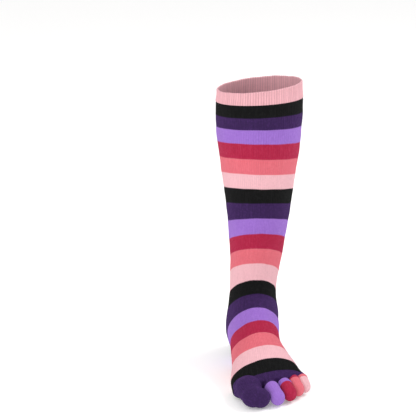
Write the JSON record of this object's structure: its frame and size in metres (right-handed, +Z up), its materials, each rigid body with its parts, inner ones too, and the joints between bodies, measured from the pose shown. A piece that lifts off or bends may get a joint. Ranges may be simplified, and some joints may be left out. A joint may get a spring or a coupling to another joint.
{
  "type": "toe sock",
  "caption": "Knee-high striped toe sock for a left foot, worn form: ribbed cuff, hollow leg and foot, five toe pockets.",
  "frame": {"origin": "the middle of the leg opening, level with the cuff's upper edge", "axes": "+Z up the leg, -Y towards the toes, +X towards the little toe's side; the sole lies 0.400 m below the origin"},
  "size_m": [0.12, 0.2535, 0.4065],
  "materials": {
    "cuff_pink": "ribbed knit, matte, slightly fuzzy",
    "black": "plain knit, matte, slightly fuzzy",
    "deep_purple": "plain knit, matte, slightly fuzzy",
    "lavender": "plain knit, matte, slightly fuzzy",
    "raspberry": "plain knit, matte, slightly fuzzy",
    "salmon": "plain knit, matte, slightly fuzzy",
    "pale_pink": "plain knit, matte, slightly fuzzy"
  },
  "bodies": {
    "root": {"cuff": "cuff_pink", "leg_band_02_black": "black", "leg_band_03_deep_purple": "deep_purple", "leg_band_04_lavender": "lavender", "leg_band_05_raspberry": "raspberry", "leg_band_06_salmon": "salmon", "leg_band_07_pale_pink": "pale_pink", "leg_band_08_black": "black", "leg_band_09_deep_purple": "deep_purple", "leg_band_10_lavender": "lavender", "leg_band_11_raspberry": "raspberry", "leg_band_12_salmon": "salmon", "leg_band_13_pale_pink": "pale_pink", "leg_band_14_black": "black", "foot_band_15_deep_purple": "deep_purple", "foot_band_16_lavender": "lavender", "foot_band_17_raspberry": "raspberry", "foot_band_18_salmon": "salmon", "foot_band_19_pale_pink": "pale_pink", "foot_band_20_black": "black", "toe_yoke": "deep_purple", "toe_1_big": "deep_purple", "toe_2": "lavender", "toe_3_root": "lavender", "toe_3_tip": "raspberry", "toe_4_root": "raspberry", "toe_4_tip": "salmon", "toe_5_root": "salmon", "toe_5_tip": "pale_pink"}
  },
  "joints": []
}
